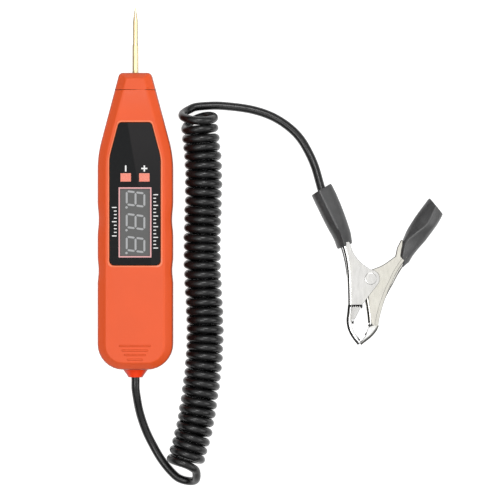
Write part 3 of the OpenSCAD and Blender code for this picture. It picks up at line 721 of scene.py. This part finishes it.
def case_ring(inset, z, skin=0.0):
    """The case's outline at height z, drawn in by inset towards its face and then by skin.
    The scallops fade out towards the face, and the back half rises towards the nose."""
    share = inset / SHOULDER_W
    ring = []
    for x, y in tapered_outline(NOSE_Y, NOSE_W, CASE_W, BASE_Y, CASE_RADII,
                                [share * full + skin for full in FACE_IN]):
        for middle, half, depth in SCALLOPS:
            off = (y - middle) / half
            if abs(off) < 1 and abs(x) > SCALLOPED_X:
                x -= math.copysign(depth * (1 - off * off) ** 1.5 * max(0, 1 - share), x)
        rise = NOSE_BACK_Z * max(0, (y - BACK_FLAT_Y) / (NOSE_Y - BACK_FLAT_Y))
        ring.append(Vector((x, y, z + rise * max(0, 1 - z / SPLIT_Z))))
    return ring


def window_ring(gap, z):
    """The window's outline, grown by gap, at height z."""
    top_y, top_w, full_w, low_y = WINDOW
    return [Vector((*p, z)) for p in tapered_outline(
        top_y + gap, top_w + gap, full_w + 2 * gap, low_y - gap, WINDOW_RADII)]


def front_skin():
    """The outside from the split up over the shoulder to the face."""
    return rounded_profile([(0, SPLIT_Z + 0.25, 0), (0.05, CASE_T - SHOULDER_DROP, 2.2),
                            (SHOULDER_W, CASE_T, 1.3), (SHOULDER_W + 0.75, CASE_T, 0)])


def back_skin():
    """The outside from the flat of the back out and up to the split."""
    return rounded_profile([(3.9, 0, 0), (3.0, 0, 1.0), (0, 3, 1.2), (0, SPLIT_Z - 0.25, 0)])


def slice_at(bm, y, keep=1, clear=False):
    bmesh.ops.bisect_plane(bm, geom=bm.verts[:] + bm.edges[:] + bm.faces[:], dist=1e-4,
                           plane_co=(0, y, 0), plane_no=(0, keep, 0), clear_inner=clear)


def cut_at(bm, y, keep):
    """Cuts off what lies beyond y, keeps the side `keep` (1 or -1), closes and softens the cut."""
    slice_at(bm, y, keep, True)
    rim = [e for e in bm.edges if e.is_boundary]
    bmesh.ops.contextual_create(bm, geom=rim)
    bmesh.ops.bevel(bm, geom=rim, offset=0.16, offset_type="OFFSET", segments=2, profile=0.5,
                    affect="EDGES", clamp_overlap=False)


def build_front_shell():
    bm = bmesh.new()
    inner_z, seat_z = CASE_T - WALL, PANEL_Z - 0.02
    outside = [case_ring(SPLIT_SLOPE, SPLIT_Z + SPLIT_GAP)]
    outside += [case_ring(d, z) for d, z in front_skin()]
    window = [window_ring(gap, z) for gap, z in (
        (0.5, CASE_T), (0.38, CASE_T - 0.02), (0.28, CASE_T - 0.1), (0.22, CASE_T - 0.25),
        (0.05, seat_z), (-1.5, seat_z), (-1.5, inner_z))]
    inside = [case_ring(SHOULDER_W, inner_z, WALL / 2), case_ring(0, inner_z - 2, WALL),
              case_ring(0, SPLIT_Z + SPLIT_GAP, WALL)]
    add_rings(bm, outside + window + inside, loop=True)
    cut_at(bm, SEAM_Y - SEAM_GAP, -1)
    shell = to_object("front_shell_skin", bm, "case_orange", 30)
    bore_for_gland(shell)
    return piece(shell, "root", "case_orange", "front_shell")


def build_window_lip():
    """A low bead round the window's seat, coloured a lighter, pinker orange as a painted highlight.
    """
    section = [(0.26, -0.12), (0.24, 0.02), (0.3, 0.09), (0.42, 0.12), (0.64, 0.12), (0.8, 0.09),
               (0.9, 0.02), (0.91, -0.12)]
    rings = [window_ring(gap, CASE_T + z) for gap, z in section]
    return piece(skinned("window_lip", rings, "rim_orange", 40, True), "root", "case_orange")


def build_ridges():
    """Rounded grip ridges near the base of the face, sunk a little into it."""
    bm = bmesh.new()
    for i, length in enumerate(RIDGES):
        y = RIDGE_Y + RIDGE_STEP * i
        rings = []
        for inset, z in RIDGE_SECTION:
            x, wide = length / 2 - inset, RIDGE_HALF - inset
            corners = [(-x, y - wide), (x, y - wide), (x, y + wide), (-x, y + wide)]
            arcs = corner_arcs(corners, [max(0.05, 0.38 - inset)] * 4, 4)
            rings.append([(*p, CASE_T + z) for arc_ in arcs for p in arc_])
        add_rings(bm, rings)
    return piece(to_object("grip_ridges", bm, "case_orange", 30), "root", "case_orange")


def bore_for_gland(shell):
    drill(shell, GLAND_BORE, (0, BASE_Y - 1, SPLIT_Z), (0, 1, 0))


def build_rear_shell():
    bm = bmesh.new()
    outside = [case_ring(d, z) for d, z in back_skin()]
    outside.append(case_ring(SPLIT_SLOPE, SPLIT_Z - SPLIT_GAP))
    inside = [case_ring(0, SPLIT_Z - SPLIT_GAP, WALL), case_ring(0, 3.9, WALL),
              case_ring(3.0, WALL, WALL / 2)]
    add_rings(bm, outside + inside)
    slice_at(bm, BACK_FLAT_Y)
    cut_at(bm, SEAM_Y - SEAM_GAP, -1)
    shell = to_object("rear_shell_skin", bm, "case_orange", 30)
    bore_for_gland(shell)
    for x, y, back in SCREWS:
        drill(shell, [(0, SCREW_R), (2 + back + SCREW_SUNK, SCREW_R)], (x, y, -2), (0, 0, 1))
    shade_smooth(shell.data, 30)
    return piece(shell, "root", "case_orange", "rear_shell")


def build_nose_cap():
    bm = bmesh.new()
    add_rings(bm, [case_ring(d, z) for d, z in back_skin() + front_skin()])
    cut_at(bm, SEAM_Y + SEAM_GAP, 1)
    cap = to_object("nose_cap_skin", bm, "case_orange", 30)
    drill(cap, NOSE_BORE, (0, SEAM_Y, PROBE_Z), (0, 1, 0))
    shade_smooth(cap.data, 30)
    return piece(cap, "root", "case_orange", "nose_cap")


def build_probe():
    tip_y = TESTER_L / 2
    step_y = NOSE_Y + 12.3
    profile = [
        (SEAM_Y - 2, 1.6), (NOSE_Y - 0.1, 1.6), (NOSE_Y, 1.5), (NOSE_Y, 1.25),
        (step_y - 1.45, 1.25), (step_y - 1.3, 1.245), (step_y - 1.1, 1.22),
        (step_y - 0.15, 1.07), (step_y, 1.05), (tip_y - 5.9, 1.05), (tip_y - 5.5, 1.03),
        (tip_y - 5.0, 0.97), (tip_y - 0.55, 0.31), (tip_y - 0.3, 0.26), (tip_y - 0.1, 0.17),
        (tip_y, 0.04),
    ]
    probe = turned("probe_needle", profile, (0, 0, PROBE_Z), (0, 1, 0), "brass")
    return piece(probe, "root", "brass", "probe_tip")


def build_gland():
    profile = [
        (0, 1.72), (0, 2.72), (0.08, 2.9), (0.22, 3.01), (0.42, 3.08), (2.95, 4.9),
        (3.1, 5.0), (3.2, 5.02), (3.2, 3.95), (5.05, 3.95), (5.05, 4.75), (6.5, 4.75),
        (6.5, 1.72),
    ]
    gland = turned("gland_boot", profile, (0, -TESTER_L / 2, SPLIT_Z), (0, 1, 0), "gland_orange",
                   smooth=30, loop=True)
    return piece(gland, "root", "gland_orange", "cord_gland")


# ---- clip ----

SHEET_T = 0.7
CLIP_HALF = 4.0
INNER_HALF = 3.0
NOSE_HALF = 3.0
# A handle's plates inside its sleeve: how far along they begin and end, and their heights
CHANNEL_FROM, CHANNEL_TO = 10, 24
CHANNEL_Z = (1.3, -2)


def ways(line):
    """The direction of an open line of points at each of them."""
    return [(b - a).normalized() for a, b in zip(line[:1] + line, line[1:] + line[-1:])]


def side_of(line, offset):
    """The open line moved sideways by offset (left of its direction is positive)."""
    return [p + Vector((-way.y, way.x)) * offset for p, way in zip(line, ways(line))]


def smooth_line(points):
    return catmull_rom([Vector(p) for p in points], 0.8)


def bent_sheet(bm, line, half, coined, lean, tab=1.2, side=1, bottom=None):
    """A strip of sheet bent down over along line, seen from above: a flat tab at the top, a coined
    edge, a wall that leans out by lean towards its foot, and a lip there. lean is one number, or
    one for each point of line. The outside is on the right of line if side is 1."""
    foot = -half if bottom is None else bottom
    rings = []
    for i, (p, way) in enumerate(zip(line, ways(line))):
        out = Vector((way.y, -way.x, 0)) * side
        reach = lean[i] if isinstance(lean, (list, tuple)) else lean
        lip = min(0.38, 0.45 * reach)
        edge, drop = coined / 2, 0.72 * coined
        face = [(-tab, half), (-edge - 0.1, half), (-edge, half - 0.03),
                (edge, half - 0.03 - drop), (edge + 0.04, half - 0.2 - drop),
                (max(reach - lip, edge + 0.05), foot + 0.42), (reach, foot + 0.2),
                (reach + 0.02, foot)]
        back = [Vector(p) + n * SHEET_T for p, n in zip(face, inward(face))]
        section = face + [tuple(p) for p in reversed(back)]
        rings.append([Vector((p.x, p.y, CLIP_Z + z)) + out * n for n, z in section])
    add_rings(bm, rings)


def inward(line):
    """Mitred unit steps to the right of a line, for a sheet's other face."""
    steps = []
    for i, p in enumerate(line):
        a = (Vector(p) - Vector(line[max(i - 1, 0)])).normalized()
        b = (Vector(line[min(i + 1, len(line) - 1)]) - Vector(p)).normalized()
        a, b = (a or b), (b or a)
        steps.append(Vector((a.y + b.y, -a.x - b.x)) / max(1 + a.dot(b), 0.7))
    return steps


def drawn_in(loop, distance):
    """A closed loop of points moved to its left by distance."""
    moved = []
    for i, p in enumerate(loop):
        a = (p - loop[i - 1]).normalized()
        b = (loop[(i + 1) % len(loop)] - p).normalized()
        turn = max(1 + a.dot(b), 0.5)
        moved.append(p + Vector((-a.y - b.y, a.x + b.x)) * distance / turn)
    return moved


def add_plate(bm, outline, z0, z1, soft=0.1, hole=None):
    """A flat plate of that outline with softened edges, and a round hole (centre, radius)."""
    outer = [Vector(p) for p in outline]
    outer = [p for p, q in zip(outer, outer[1:] + outer[:1]) if (p - q).length > 0.05]
    if sum(a.cross(b) for a, b in zip(outer, outer[1:] + outer[:1])) < 0:
        outer.reverse()
    loops = [outer]
    if hole:
        loops.append(arc(hole[0], hole[1], 360, 0, 10)[:-1])
    small = [drawn_in(loop, soft) for loop in loops]
    caps = []
    for loop, inset in zip(loops, small):
        levels = ((inset, z0), (loop, z0 + soft), (loop, z1 - soft), (inset, z1))
        rows = [[bm.verts.new((p.x, p.y, CLIP_Z + z)) for p in ring] for ring, z in levels]
        skin(bm, rows)
        caps.append((rows[0], rows[-1]))
    for end in (0, 1):
        corners = [vert for cap in caps for vert in cap[end]]
        for face in tessellate_polygon([[p.to_3d() for p in ring] for ring in small]):
            bm.faces.new([corners[i] for i in face])


def arc(centre, radius, start, stop, step=12):
    count = max(2, round(abs(stop - start) / step))
    return [Vector(centre) + radius * Vector((math.cos(math.radians(a)), math.sin(math.radians(a))))
            for a in (start + (stop - start) * k / count for k in range(count + 1))]


# Bent edges of the two jaws from the handles down, and how far each wall leans out
SPINE_A = [(84.6, -20.6), (85.5, -23.1), (86.5, -27.3), (87.0, -31), (87.25, -34.5),
           (87.4, -38), (87.5, -42), (87.55, -46)]
LEAN_A = [1.0, 1.0, 0.9, 0.75, 0.55, 0.3, 0.15, 0.1]
NOSE_A = [(87.55, -45.9), (87.3, -49), (86.95, -52), (87.1, -54), (87.6, -56), (88.5, -58),
          (89.8, -60), (91.5, -62.1)]
SPINE_B = [(111.2, -26.6), (109.2, -29.2), (107.6, -31.6), (106.2, -34.1), (104.9, -37),
           (103.7, -39.4), (102.5, -42.4), (101.4, -45.5), (100.5, -48.6), (99.8, -51.5),
           (99.3, -54.4)]
LEAN_B = [1.1, 1.1, 1.1, 1.05, 0.9, 0.7, 0.4, 0.25, 0.2, 0.15, 0.1]
NOSE_B = [(99.3, -54.3), (98.6, -56), (97.6, -57.4), (96.2, -58.9), (94.3, -60.4),
          (92.2, -62.05)]


def mouth_line(points, count=4):
    """The mouth's edge of a nose's plates, along points, with three spots for each tooth."""
    route = Route([(x, y, 0) for x, y in points], 0.2)
    spots = [k + share for k in range(count) for share in (0.0, 0.3, 0.6)] + [count]
    return [route.at(route.lengths[-1] * spot / count)[0].to_2d() for spot in spots]


def lean_along(points, leans, place):
    """The lean at place, from those given along the falling Y of points."""
    for (_, high), (_, low), a, b in zip(points, points[1:], leans, leans[1:]):
        if low <= place.y <= high:
            return a + (b - a) * (high - place.y) / (high - low)
    return leans[0] if place.y > points[0][1] else leans[-1]


def add_nose(bm, nose, mouth, side):
    """The narrow end of a jaw: its bent wall and a plate above and below, up to the mouth."""
    line = smooth_line(nose)
    bent_sheet(bm, line, NOSE_HALF, 0.95, 0.5, tab=0.8, side=side)
    inner = side_of(line, 0.75 * side)
    for z in (NOSE_HALF - SHEET_T, -NOSE_HALF):
        add_plate(bm, mouth + inner[::-1], z, z + SHEET_T, 0.06)


def add_bent_jaw(bm, points, leans, half, coined, side):
    """The bent wall of a jaw's wide part. Gives the line where its plates begin."""
    line = smooth_line(points)
    bent_sheet(bm, line, half, coined, [lean_along(points, leans, p) for p in line], side=side)
    return side_of(line, 1.1 * side)


def add_bent_teeth(bm, start, end, z, count, drop=0.85, reach=1.1):
    """A row of teeth bent down at the end of a plate: it runs from start to end, with the teeth
    towards its right."""
    a, b = Vector(start), Vector(end)
    way = (b - a).normalized()
    out = Vector((way.y, -way.x))
    pitch = (b - a).length / count
    for k in range(count):
        root, tip = a + way * pitch * k, a + way * pitch * (k + 0.5)
        corners = [(root, 0, 0), (root + way * pitch, 0, 0),
                   (root + way * pitch * 0.92, 0.6, 0.6), (tip + way * 0.1, 1, 1),
                   (tip - way * 0.1, 1, 1), (root + way * pitch * 0.08, 0.6, 0.6)]
        top, low = [], []
        for p, share, depth in corners:
            spot = p + out * reach * share
            top.append(bm.verts.new((*spot, CLIP_Z + z - drop * depth)))
            low.append(bm.verts.new((*(spot - out * 0.25), CLIP_Z + z - drop * depth - 0.35)))
        bm.faces.new(top)
        bm.faces.new(low[::-1])
        skin(bm, [low, top])


def build_fixed_jaw():
    bm = bmesh.new()
    edge = add_bent_jaw(bm, SPINE_A, LEAN_A, CLIP_HALF, 0.7, 1)
    eye = arc(RIVET.to_2d(), 3.7, -42, 90)
    shoulder = smooth_line([(96.4, -31.5), (92.4, -28.6), (89.3, -24.6), (87.6, -20)])[1:]
    hole = (RIVET.to_2d(), 1.5)
    rest = [(92.9, -45.9), (94.6, -43.6)] + eye + shoulder
    add_plate(bm, edge + [(88.5, -45.9)] + rest, CLIP_HALF - SHEET_T, CLIP_HALF, hole=hole)
    add_bent_teeth(bm, (87.6, -45.8), (92.7, -45.8), CLIP_HALF, 6)
    add_bent_teeth(bm, (92.1, -46.1), (93.0, -46), CLIP_HALF, 1, 0.9, 1.4)
    tongue = [(88.1, -52), (89.9, -52), (92.9, -46)]
    add_plate(bm, edge + tongue + rest[1:], -CLIP_HALF, SHEET_T - CLIP_HALF, hole=hole)
    mouth = mouth_line([(91.9, -61.7), (90.7, -58.9), (89.2, -56), (88.4, -52)])
    add_nose(bm, NOSE_A, mouth[::-1], 1)
    add_bent_teeth(bm, (89.4, -53.5), (88, -53.3), NOSE_HALF, 2)
    add_bent_teeth(bm, (92, -60.6), (89.2, -57.2), NOSE_HALF, 5, 0.25, 0.35)
    add_channel(bm, *SLEEVE_A[:2], 1.5)
    jaw = to_object("jaw_fixed_steel", bm, "clip_nickel", 30)
    return piece(jaw, "root", "clip_nickel", "clip_jaw_fixed")


def build_moving_jaw():
    bm = bmesh.new()
    edge = add_bent_jaw(bm, SPINE_B, LEAN_B, INNER_HALF, 0.3, -1)
    eye = arc(RIVET.to_2d(), 3.5, 250, 90)
    top = smooth_line([(96.4, -31.7), (101.3, -29.7), (106.6, -26)])[1:]
    handle = [(107.3, -22.6), (109, -19.2), (109.6, -19.6), (109.2, -23.8), (109.9, -25.2),
              (111, -26)]
    mouth = [(97.9, -54.5), (96.9, -54.3), (96.5, -52.5), (95.5, -44.2)]
    outline = edge + mouth + eye + top + handle
    for z in (INNER_HALF - SHEET_T, -INNER_HALF):
        add_plate(bm, outline, z, z + SHEET_T, 0.2, hole=(RIVET.to_2d(), 1.55))
    inner_edge = smooth_line([(94.5, -43.4), (95, -46.5), (95.5, -50), (95.8, -53.4)])
    bent_sheet(bm, inner_edge, INNER_HALF, 0.85, 0.5, tab=0.9, side=1, bottom=INNER_HALF - 2.4)
    mouth = mouth_line([(92.3, -61.4), (94.3, -58.6), (95.6, -55.2), (97.6, -54.3)])
    add_nose(bm, NOSE_B, mouth[::-1], -1)
    add_bent_teeth(bm, (97.3, -55.3), (95.3, -54.4), INNER_HALF, 3)
    add_bent_teeth(bm, (95.2, -58.6), (94, -57.9), NOSE_HALF, 2)
    add_channel(bm, *SLEEVE_B[:2], 1.0)
    jaw = to_object("jaw_moving_steel", bm, "clip_nickel_warm", 30)
    return piece(jaw, "moving_jaw", "clip_nickel", "clip_jaw_moving")


def add_channel(bm, start, end, half_w):
    """The end of a handle inside its sleeve, which runs from start to end."""
    a, b = Vector(start), Vector(end)
    way = (b - a).normalized()
    across = Vector((-way.y, way.x))
    p, q = a + way * CHANNEL_FROM, a + way * CHANNEL_TO
    for z in CHANNEL_Z:
        add_plate(bm, [p - across * half_w, q - across * half_w, q + across * half_w,
                       p + across * half_w], z, z + SHEET_T)


def build_rivet():
    head = [(4.02, 1.5), (4.02, 2.42), (4.1, 2.45), (4.26, 2.43), (4.34, 2.36), (4.38, 2.24),
            (4.389, 2.16), (4.39, 1.2), (4.39, 0.5)]
    profile = [(-along, radius) for along, radius in reversed(head)] + head
    rivet = turned("rivet_domed", profile, RIVET, (0, 0, 1), "clip_nickel")
    return piece(rivet, "root", "clip_nickel", "clip_rivet")


# The spring: its coils' radius, wire, turns, half height, legs' directions and points on them
SPRING_R, SPRING_WIRE_R, SPRING_TURNS = 2.65, 0.5, 3
SPRING_HALF = 1.3
SPRING_LEGS = (27, 133)
LEG_IN, LEG_OUT = (9.2, 6.5, 4, 2), (2, 4, 7, 10.4)


def build_spring():
    """A torsion spring of round wire on the rivet, with a leg to each handle."""
    first, last = (math.radians(a) for a in SPRING_LEGS)
    leg, out = (Vector((math.cos(a), math.sin(a), 0)) for a in (first, last))
    side = Vector((leg.y, -leg.x, 0))
    low, high = (RIVET + Vector((0, 0, z)) for z in (-SPRING_HALF, SPRING_HALF))
    points = [high + side * SPRING_R + leg * d for d in LEG_IN]
    sweep = 2 * math.pi * SPRING_TURNS + last - first
    steps = 24 * SPRING_TURNS
    for k in range(steps + 1):
        a = math.atan2(side.y, side.x) - sweep * k / steps
        points.append(high.lerp(low, k / steps)
                      + SPRING_R * Vector((math.cos(a), math.sin(a), 0)))
    points += [points[-1] + out * d for d in LEG_OUT]
    wire = round_wire("spring_wire", points, SPRING_WIRE_R, 4, "spring_steel")
    mesh = bpy.data.meshes.new_from_object(
        wire.evaluated_get(bpy.context.evaluated_depsgraph_get()))
    bpy.data.objects.remove(wire)
    shade_smooth(mesh, 60)
    spring = add_object("spring_wire", mesh)
    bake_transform(spring)
    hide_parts("clip_spring")
    return spring


# Sleeves: upper and lower end, slices and the ends' skews. A slice is the distance along, left
# edge, right edge, height, and where the ridge on top runs, from -1 on the right to 1 on the left
SLEEVE_A = ((76.2, 1.5), (85.8, -22), [
    (0, 4.65, -4.7, 9.6, -0.2), (4, 4.95, -4.5, 9.7, -0.2), (8, 5.03, -4.25, 9.8, -0.18),
    (11, 5.0, -4.05, 9.9, -0.16), (15.6, 4.82, -3.66, 10, -0.14), (21, 4.4, -3.05, 10.1, -0.1),
    (25.3, 3.5, -3.2, 10.1, -0.1)], ((-0.7, 0), (0, 0)))
SLEEVE_B = ((123.6, -5.6), (109.9, -27.6), [
    (0, 3.85, -4.6, 8.5, 0.05), (5.6, 4.05, -5.1, 8.6, 0.2), (8.5, 3.9, -5.3, 8.7, 0.25),
    (14.5, 3.4, -5.3, 8.8, -0.15), (19.2, 2.65, -4.6, 8.9, -0.5), (22.6, 2.3, -3.6, 8.9, -0.45),
    (25.8, 2.4, -2.6, 8.9, -0.3)], ((1.3, 0), (0.4, 2.6)))
SLEEVE_WALL, SLEEVE_LIP = 0.85, 0.25
SKEW_FADE = 8


def sleeve_section(start, way, slice_, shrink, skew, count=72):
    """One ring of a sleeve, drawn in by shrink: round below and ridged above. skew is how far its
    left edge and the tail beside it are drawn along."""
    along, left, right, tall, ridge = slice_
    across = Vector((-way.y, way.x, 0))
    centre = Vector((*start, CLIP_Z)) + Vector((*way, 0)) * along + across * (left + right) / 2
    half_w, half_t = (left - right) / 2 - shrink, tall / 2 - shrink
    slope = 0.68 - 0.55 * abs(ridge)
    ring = []
    for k in range(count):
        a = 2 * math.pi * k / count
        c, s = math.cos(a), math.sin(a)
        u = math.copysign(abs(c) ** 0.9, c)
        if s >= 0:
            off = (u - ridge) / (1 - ridge if u > ridge else 1 + ridge)
            v = (1 - slope * abs(u - ridge)) * math.sqrt(1 - min(abs(off), 1) ** 6)
        else:
            v = -abs(s) ** 0.85
        tail = max(0, 1 - ((u - 0.55) / 0.45) ** 2) ** 2
        ring.append(centre + across * half_w * u + Vector((0, 0, half_t * v))
                    + Vector((*way, 0)) * (skew[0] * u + skew[1] * tail))
    return ring


def build_sleeve(name, node, body, data):
    start, end, slices, skews = data
    way = (Vector(end) - Vector(start)).normalized()
    total = slices[-1][0]
    fine = []
    for k in range(41):
        along = total * k / 40
        i = max(j for j in range(len(slices) - 1) if slices[j][0] <= along + 1e-6)
        a, b = slices[i], slices[i + 1]
        t = (along - a[0]) / (b[0] - a[0])
        before, after = slices[max(i - 1, 0)], slices[min(i + 2, len(slices) - 1)]
        fine.append((along, *(hermite(before[j], a[j], b[j], after[j], t) for j in range(1, 5))))
    rings = []
    for wall, turned_in, order in ((0, SLEEVE_LIP, 1), (SLEEVE_WALL, -SLEEVE_LIP, -1)):
        for slice_ in fine[::order]:
            shrink = wall + (turned_in if slice_ in (fine[0], fine[-1]) else 0)
            upper, lower = (max(0, 1 - abs(slice_[0] - tip) / SKEW_FADE) ** 2
                            for tip in (0, total))
            skew = [upper * a + lower * b for a, b in zip(*skews)]
            rings.append(sleeve_section(start, way, slice_, shrink, skew))
    return piece(skinned(name, rings, "sleeve_black", 60, True), body, "sleeve_black", node)


def hermite(before, a, b, after, t):
    """A smooth value between a and b."""
    m, n = (b - before) / 2, (after - a) / 2
    return ((2 * t ** 3 - 3 * t * t + 1) * a + (t ** 3 - 2 * t * t + t) * m
            + (3 * t * t - 2 * t ** 3) * b + (t ** 3 - t * t) * n)


# ---- everything ----

def dress_nodes():
    """Gives every CAD node the finish of its slot."""
    for part in frame["record"]["subparts"]:
        slots = frame["nodes"][part["node"]].data.materials
        slots.clear()
        slots.append(LOOKS[part["material_slot"]])


# CAD nodes that show as they are, and the width of their softened edges
SOFTENED = {"window_panel": 0.12, "display_module": 0.1, "led_lens_minus": 0.1,
            "led_lens_plus": 0.1, "case_screws": 0.1, "wire_crimp": 0.1}


def soften(node, width):
    """Small rounded edges on a CAD node that shows as it is."""
    obj = frame["nodes"][node]
    obj.modifiers.new("weld", "WELD").merge_threshold = 0.001 * MM
    modifier = obj.modifiers.new("bevel", "BEVEL")
    modifier.width = width * MM
    modifier.segments = 2
    modifier.limit_method = "ANGLE"
    modifier.angle_limit = math.radians(40)


def build():
    dress_nodes()
    add_camera()
    add_stage()
    for node, width in SOFTENED.items():
        soften(node, width)
    cord = build_cord()
    build_front_shell()
    build_window_lip()
    build_ridges()
    build_rear_shell()
    build_nose_cap()
    build_probe()
    build_gland()
    clip = [
        build_fixed_jaw(), build_moving_jaw(), build_rivet(), build_spring(),
        build_sleeve("sleeve_soft_a", "sleeve_fixed", "root", SLEEVE_A),
        build_sleeve("sleeve_soft_b", "sleeve_moving", "moving_jaw", SLEEVE_B),
    ]


build()
